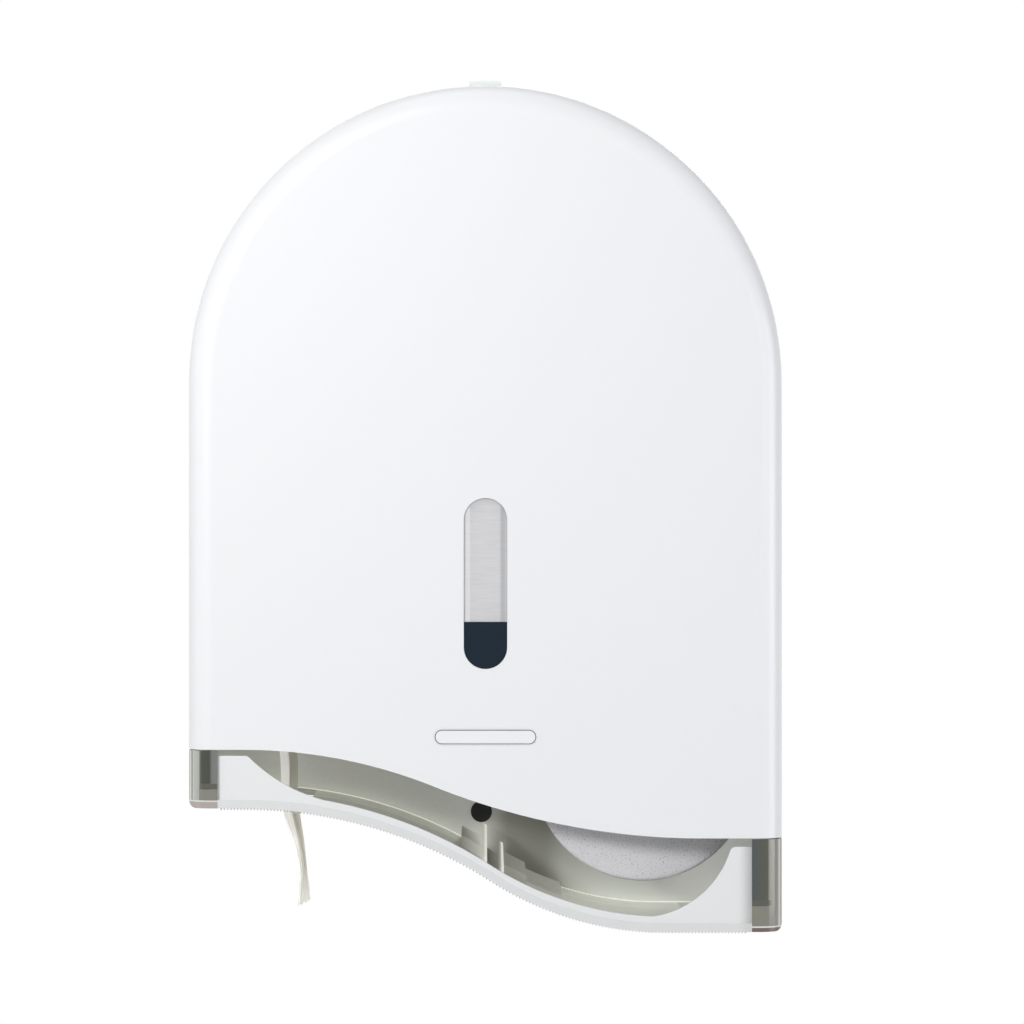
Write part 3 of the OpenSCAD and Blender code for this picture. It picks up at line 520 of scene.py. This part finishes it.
# %% [markdown]
# The end of a wound roll shows the edges of its turns as fine rings round the core,
# and the cut leaves short fibres and specks. The rings are noise along the distance
# from the roll's own axis, shaken a little so that no two turns are alike.

# %% Wound paper
STUB_AT = (0.0765053, -0.1891053)
RING_SHAKE = 0.0006


def roll_paper(name, centre, tint):
    net = Net(name)
    vector, (x, _, z) = net.place()
    across = x - centre[0]
    up = z - centre[1]
    radius = (across * across + up * up) ** 0.5
    shaken = radius + net.noise(vector, 160, 2) * RING_SHAKE
    rings = net.noise(net.add("ShaderNodeCombineXYZ", None, {0: shaken}), 2300, 2)
    fibre = net.noise(vector, 900, 4)
    specks = net.ramp(net.noise(vector, 1300, 2), 0.57, 0.70)
    base = net.mix(rings, shaded(tint, 0.84), tint)
    fuzzy = net.mix(fibre * 0.35, base, shaded(tint, 1.12))
    speckled = net.mix(specks * 0.6, fuzzy, (0.26, 0.25, 0.26))
    return net.skin(speckled, 0.9, net.bump(rings * 0.7 + fibre, mm(0.22), 0.7))


main_paper = roll_paper("main_paper", (0, 0), (0.76, 0.75, 0.76))
stub_paper = roll_paper("stub_paper", STUB_AT, (0.83, 0.82, 0.84))
print("rolls:", main_paper.name, stub_paper.name)

# %% [markdown]
# The hanging end is soft tissue: fine embossed dots, short fibres and long creases. It
# is thin enough for light to pass, and a painted glow stands for that light, most of all
# near the slot. The far half of the sheet low down is darker with painted shade and glows
# less. The core inside each roll is brown card.

# %% Tissue and card
def tail_tissue():
    net = Net("tail_tissue")
    vector, (_, y, z) = net.place()
    dots = net.add("ShaderNodeTexVoronoi", None, {"Vector": vector, "Scale": 420})
    fibre = net.noise(vector, 700, 4)
    crease = net.noise(net.stretch(vector, (1, 1, 0.15)), 130, 2)
    colour = net.mix(fibre, (0.84, 0.83, 0.78), (0.93, 0.92, 0.88))
    # Painted shade on the far half of the sheet, low down.
    far_half_painted_shade = net.ramp(y, -0.066, -0.058) * net.ramp(z, -0.256, -0.236)
    colour = net.mix(far_half_painted_shade, colour, (0.74, 0.73, 0.66))
    # Painted light: a glow, strongest near the slot.
    near_slot = net.ramp(z, -0.240, -0.225)
    painted_slot_light = net.mix(near_slot, (0.075, 0.075, 0.076), (0.200, 0.198, 0.196))
    glow = net.mix(far_half_painted_shade, painted_slot_light, (0.050, 0.048, 0.042))
    relief = net.bump(dots * 0.5 + fibre * 0.4 + crease, mm(0.3), 0.6)
    return net.skin(colour, 0.92, relief, Transmission_Weight=0.6, IOR=1.2,
                    Emission_Color=glow, Emission_Strength=1.0)


def core_card():
    net = Net("core_card")
    fibre = net.noise(net.stretch(net.vector(), (1, 0.3, 1)), 500, 4)
    colour = net.mix(fibre, (0.24, 0.18, 0.12), (0.40, 0.32, 0.23))
    return net.skin(colour, 0.85, net.bump(fibre, mm(0.1), 0.5))


tissue = tail_tissue()
card = core_card()
print("tissue and card:", tissue.name, card.name)

# %% [markdown]
# Every carried-over part takes the finish that fits it. The frame's meshes stay as
# they are: only their material slots change. The hinge's screws wear the finish of its
# block, because no bright heads show there.

# %% Dress the parts
FINISHES = {
    cover_white: ["front_cover"],
    apron_white: ["apron"],
    back_grey: ["back_plate"],
    bridge_ribbed: ["guide_bridge"],
    bridge_olive: ["keeper_post"],
    plug_black: ["hole_plug"],
    spool_grey: ["main_axle", "stub_axle", "main_carrier", "stub_carrier", "lock_carrier"],
    cap_dark: ["main_axle_cap", "stub_axle_cap"],
    smoky: ["lower_tray"],
    window_clear: ["window_lens"],
    hinge_green: ["hinge_block", "hinge_screws"],
    button_navy: ["lock_button"],
    latch_black: ["latch_hook"],
    label_blank: ["label_plate"],
    strip_steel: ["tear_strip"],
    screw_steel: ["hinge_pin", "axle_screws", "cap_screws", "keeper_screws",
                  "tray_screws", "apron_screws", "carrier_screws", "latch_pin", "button_spring"],
    card: ["main_core", "stub_core"],
    main_paper: ["main_roll"],
    stub_paper: ["stub_roll"],
    tissue: ["paper_tail"],
}


def dress(thing, material):
    thing.data.materials.clear()
    thing.data.materials.append(material)


for material, names in FINISHES.items():
    for name in names:
        dress(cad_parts[name], material)
dressed = {name for names in FINISHES.values() for name in names}
print("parts without a finish:", sorted(set(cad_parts) - dressed))

# %% [markdown]
# New pieces are shaped in edit mode, as by hand. Two helpers open and close that work.
# The second one merges doubles, turns the faces outwards, and puts the object's place
# in its mesh, so that patterns on Object coordinates stay where they belong.

# %% Helpers for modelling
def start(name):
    """Leaves the new primitive alone in edit mode, under its name."""
    thing = bpy.context.object
    thing.name = name
    thing.data.name = name
    bpy.ops.object.mode_set(mode="EDIT")
    return thing


def end(thing):
    """Cleans the mesh, leaves edit mode and puts the object's place in its mesh."""
    bpy.ops.mesh.select_all(action="SELECT")
    bpy.ops.mesh.remove_doubles(threshold=mm(0.01))
    bpy.ops.mesh.normals_make_consistent(inside=False)
    bpy.ops.object.mode_set(mode="OBJECT")
    bpy.ops.object.transform_apply(location=True, rotation=True, scale=True)
    return thing


def smooth():
    """Shades the object smooth, except where faces meet at more than 40 degrees."""
    bpy.ops.object.shade_smooth_by_angle(angle=math.radians(40))


def apply_modifier(thing, kind, **settings):
    modifier = thing.modifiers.new(kind.lower(), kind)
    for key, value in settings.items():
        setattr(modifier, key, value)
    bpy.ops.object.modifier_apply(modifier=modifier.name)


def hook_up(thing, node, body, material):
    """The piece stands for a node, moves with a body and wears a material."""
    dress(thing, material)
    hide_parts(node)
    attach(thing, body)
    print(thing.name, "has", len(thing.data.polygons), "faces and rides on", body)


print("helpers are ready")

# %% [markdown]
# A roll could be a tube, but its ends are never flat: single turns stand proud, and
# the rims are soft. So it is made like a pot on a wheel. A circle is extruded from ring
# to ring along the roll's section: over the back end, along the outside, over the
# front end and back through the bore, and the last ring is merged with the first.

# %% Section of a roll
ROLL_BACK = -0.012
ROLL_FRONT = -0.107
BORE = 0.0301
MAIN_OUTER = 0.1270
STUB_OUTER = 0.05299
RIM = 0.0018
RIM_BEND = RIM - mm(0.14)
TURN_STEP = 0.0020


def ring_depth(count):
    """How far a turn stands back from the roll's end, the same each run."""
    return mm(0.05 + 0.09 * (1 + math.sin(count * 2.4) * math.cos(count * 0.7)))


def roll_section(inner, outer):
    """Radius and y of each ring, once round the section."""
    flat = outer - RIM
    turns = round((flat - inner) / TURN_STEP)
    radii = [inner + (flat - inner) * turn / turns for turn in range(turns + 1)]
    back = [(radius, ROLL_BACK - ring_depth(count)) for count, radius in enumerate(radii)]
    front = [(radius, ROLL_FRONT + ring_depth(count + 5)) for count, radius in enumerate(radii)]
    for angle in (30, 60, 90):
        corner = math.radians(angle)
        radius = flat + RIM * math.sin(corner)
        back.append((radius, ROLL_BACK - RIM + RIM_BEND * math.cos(corner)))
        front.append((radius, ROLL_FRONT + RIM - RIM_BEND * math.cos(corner)))
    return back + front[::-1]


print("rings round the stub roll's section:", len(roll_section(BORE, STUB_OUTER)))

# %% The two rolls
def wound_roll(name, centre, inner, outer, sides):
    section = roll_section(inner, outer)
    bpy.ops.object.select_all(action="DESELECT")
    bpy.ops.mesh.primitive_circle_add(vertices=sides, radius=section[0][0],
                                      rotation=(math.pi / 2, 0, 0),
                                      location=(centre[0], section[0][1], centre[1]))
    thing = start(name)
    for (radius, y), (next_radius, next_y) in zip(section, section[1:] + section[:1]):
        bpy.ops.mesh.extrude_region_move(TRANSFORM_OT_translate={"value": (0, next_y - y, 0)})
        growth = next_radius / radius
        bpy.ops.transform.resize(value=(growth, 1, growth),
                                 center_override=(centre[0], 0, centre[1]))
    end(thing)
    smooth()
    return thing


main_roll_paper = wound_roll("main_roll_paper", (0, 0), BORE, MAIN_OUTER, 144)
hook_up(main_roll_paper, "main_roll", "main_reel", main_paper)
stub_roll_paper = wound_roll("stub_roll_paper", STUB_AT, BORE, STUB_OUTER, 96)
hook_up(stub_roll_paper, "stub_roll", "stub_reel", stub_paper)

# %% [markdown]
# The button's spring shortens when the button goes in. It is wound like the real thing:
# a small circle, the section of the wire, is screwed round the spring's axis.

# %% Button spring
WIRE_R = mm(0.4)
WIRE_SIDES = 10
SPRING_TURNS = 7
STEPS_PER_TURN = 28

coil_low, coil_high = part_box("button_spring")
coil_x, coil_z = (coil_low.x + coil_high.x) / 2, (coil_low.z + coil_high.z) / 2
coil_r = (coil_high.x - coil_low.x) / 2 - WIRE_R
coil_front, coil_back = coil_low.y + WIRE_R, coil_high.y - WIRE_R
bpy.ops.object.select_all(action="DESELECT")
bpy.ops.mesh.primitive_circle_add(vertices=WIRE_SIDES, radius=WIRE_R,
                                  location=(coil_x, coil_front, coil_z))
spring_coil = start("spring_coil")
bpy.ops.transform.translate(value=(coil_r, 0, 0))
bpy.ops.object.mode_set(mode="OBJECT")
apply_modifier(spring_coil, "SCREW", axis="Y", steps=STEPS_PER_TURN,
               render_steps=STEPS_PER_TURN, iterations=SPRING_TURNS,
               screw_offset=(coil_back - coil_front) / SPRING_TURNS)
bpy.ops.object.mode_set(mode="EDIT")
bpy.ops.mesh.select_all(action="SELECT")
bpy.ops.mesh.fill_holes(sides=0)
end(spring_coil)
smooth()
dress(spring_coil, screw_steel)
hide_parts("button_spring")
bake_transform(spring_coil)
print("spring of", len(spring_coil.data.polygons), "faces from y", round(coil_front, 4),
      "to", round(coil_back, 4))

# %% [markdown]
# The tail comes off the left of the main roll, falls through the slot in the floor and
# ends in a torn edge. It is a sheet, so it starts as a grid. Its front and back edges
# each follow a line of points down the sheet, and every row is drawn between the two.
# Cloth simulation isn't needed for a strip this short: it hangs nearly straight.

# %% Edges of the tail
TAIL_FRONT = [(-125.7, -22), (-112.5, -100), (-103.8, -150), (-99.8, -180), (-99.0, -198),
              (-97.9, -209), (-93.6, -222), (-90.2, -236), (-90.4, -246), (-91.0, -253.8)]
TAIL_BACK = [(-125.7, -22), (-110.5, -100), (-100.9, -150), (-96.0, -185), (-95.6, -204),
             (-94.6, -216), (-92.6, -230), (-91.2, -244), (-90.2, -252), (-89.5, -259.7)]


def smooth_line(points, share):
    """The place at a share of the line's length, on a smooth curve through its points."""
    points = [Vector(point) for point in points]
    lengths = [(b - a).length for a, b in zip(points, points[1:])]
    reach = share * sum(lengths)
    step = 0
    while step < len(lengths) - 1 and reach > lengths[step]:
        reach -= lengths[step]
        step += 1
    t = min(1, reach / lengths[step])
    a, b = points[step], points[step + 1]
    before = points[step - 1] if step else a - (b - a)
    after = points[step + 2] if step + 2 < len(points) else b + (b - a)
    return (a * 2 + (b - before) * t + (before * 2 - a * 5 + b * 4 - after) * t ** 2
            + (a * 3 - before - b * 3 + after) * t ** 3) / 2


print("the tail's front edge ends at",
      tuple(round(c, 1) for c in smooth_line(TAIL_FRONT, 1)))

# %% The tail
# Shares of the sheet's length: where it hangs free, and where the tear begins
FREE_FROM, FREE_SHARE = 0.72, 0.28
TORN_FROM, TORN_SHARE = 0.985, 0.015
SHEET_MIDDLE = Vector((0.5, 0.5, 0))


def tail_place(across, down):
    """Where a point of the sheet hangs, from its place across and down it."""
    front = smooth_line(TAIL_FRONT, down)
    back = smooth_line(TAIL_BACK, down)
    x, z = front.lerp(back, across)
    free = max(0, down - FREE_FROM) / FREE_SHARE
    wrinkle = 0.25 * math.sin(across * 19 + down * 9) + 0.15 * math.sin(across * 37 - down * 17)
    crease = 1.1 * math.exp(-((across - 0.45 - 0.1 * down) / 0.03) ** 2)
    ragged = math.sin(across * 61) * math.sin(across * 23)
    torn = 0.7 * ragged * max(0, down - TORN_FROM) / TORN_SHARE
    y = ROLL_FRONT + (ROLL_BACK - ROLL_FRONT) * across
    return mm(x + free * (wrinkle + crease)), y, mm(z + torn)


bpy.ops.object.select_all(action="DESELECT")
bpy.ops.mesh.primitive_grid_add(x_subdivisions=60, y_subdivisions=140, size=1,
                                location=SHEET_MIDDLE)
tail_paper = start("tail_paper")
sheet_mesh = bmesh.from_edit_mesh(tail_paper.data)
for vert in sheet_mesh.verts:
    vert.co = Vector(tail_place(vert.co.x + 0.5, 0.5 - vert.co.y)) - SHEET_MIDDLE
bmesh.update_edit_mesh(tail_paper.data)
end(tail_paper)
apply_modifier(tail_paper, "SOLIDIFY", thickness=mm(0.35), offset=0)
smooth()
hook_up(tail_paper, "paper_tail", "housing", tissue)

# %% [markdown]
# The floor is plain and pale. Near the object it is matt, so that it takes a soft
# shadow, and far off it glows, so that its edge can't be told from the white
# background.

# %% Floor
FLOOR_Z = -0.50
MATT_TO, GLOW_FROM = 0.5, 1.1

floor_net = Net("floor_pale")
_, (floor_x, floor_y, _) = floor_net.place()
distance = (floor_x * floor_x + floor_y * floor_y) ** 0.5
floor_glow = floor_net.add("ShaderNodeEmission", None, {"Color": (1, 1, 1, 1), "Strength": 1.0})
floor_matt = floor_net.add("ShaderNodeBsdfDiffuse", None, {"Color": (0.90, 0.90, 0.90, 1)})
floor_shade = floor_net.add("ShaderNodeMixShader", None, {
    0: floor_net.ramp(distance, MATT_TO, GLOW_FROM), 1: floor_matt, 2: floor_glow})
floor_net.add("ShaderNodeOutputMaterial", None, {"Surface": floor_shade})

bpy.ops.object.select_all(action="DESELECT")
bpy.ops.mesh.primitive_circle_add(vertices=96, radius=1.2, fill_type="NGON",
                                  location=(0, 0, FLOOR_Z))
floor = bpy.context.object
floor.name = "floor"
dress(floor, floor_net.material)
print("floor at", FLOOR_Z)

# %% [markdown]
# The photograph's light comes mostly from the upper left and falls off to the lower
# right, where the cover turns grey. A near lamp gives that fall-off, because distance
# counts for more when a lamp is close. The strongest lamp stands well to the left and
# above: nearer to the camera its reflection would whiten the whole cover, and from
# above it draws the shadow of the cover's edge on the stub roll. A weaker lamp on the
# right reaches the part of the inside that the first one leaves dark, and two at the
# sides keep the edges from going grey. One overhead does the same for the dome's rim,
# and one behind the object lights its edges from there.

# %% Lamps
COOL_WHITE = (0.97, 0.985, 1.0)


def lamp(name, location, target, size, watts, colour=(1, 1, 1)):
    data = bpy.data.lights.new(name, "AREA")
    data.size = size
    data.energy = watts
    data.color = colour
    thing = bpy.data.objects.new(name, data)
    thing.location = location
    aim = Vector(target) - Vector(location)
    thing.rotation_euler = aim.to_track_quat("-Z", "Y").to_euler()
    scene.collection.objects.link(thing)


lamp("key", (-0.30, -0.62, 0.36), (-0.04, 0, 0.04), 0.4, 1.25)
lamp("front left", (-1.15, -1.70, 0.50), (0, 0, -0.12), 0.4, 19.5, (0.99, 0.995, 1.0))
lamp("front right", (1.20, -1.70, 0.20), (0, 0, -0.12), 0.5, 3.6, COOL_WHITE)
lamp("left", (-1.4, -0.5, 0.1), (0, 0, -0.05), 0.8, 2.0)
lamp("right", (1.5, -0.6, 0.0), (0, 0, -0.10), 0.8, 9.5, COOL_WHITE)
lamp("top", (0, -0.1, 1.3), (0, -0.05, 0.1), 0.8, 3.0)
lamp("back", (0.3, 2.0, 0.5), (0, 0, -0.05), 1.0, 9.0)
print("lamps:", [light.name for light in bpy.data.lights])

# %% [markdown]
# The world lights the object softly. What the camera sees of it is plain white, and so
# is what shows in glossy and see-through surfaces, which Light Path tells apart.

# %% World
world = bpy.data.worlds.new("world")
scene.world = world
world.use_nodes = True
nodes = world.node_tree.nodes
links = world.node_tree.links
nodes.clear()


def background(colour, strength):
    node = nodes.new("ShaderNodeBackground")
    node.inputs["Color"].default_value = (*colour, 1)
    node.inputs["Strength"].default_value = strength
    return node


path = nodes.new("ShaderNodeLightPath")
white = background((1, 1, 1), 1.0)
soft = background(COOL_WHITE, 0.15)
shown = path.outputs["Is Camera Ray"]
for other in ("Is Glossy Ray", "Is Transmission Ray"):
    either = nodes.new("ShaderNodeMath")
    either.operation = "MAXIMUM"
    links.new(shown, either.inputs[0])
    links.new(path.outputs[other], either.inputs[1])
    shown = either.outputs[0]
blend = nodes.new("ShaderNodeMixShader")
out = nodes.new("ShaderNodeOutputWorld")
links.new(shown, blend.inputs[0])
links.new(soft.outputs[0], blend.inputs[1])
links.new(white.outputs[0], blend.inputs[2])
links.new(blend.outputs[0], out.inputs[0])
print("world of strength", soft.inputs["Strength"].default_value)
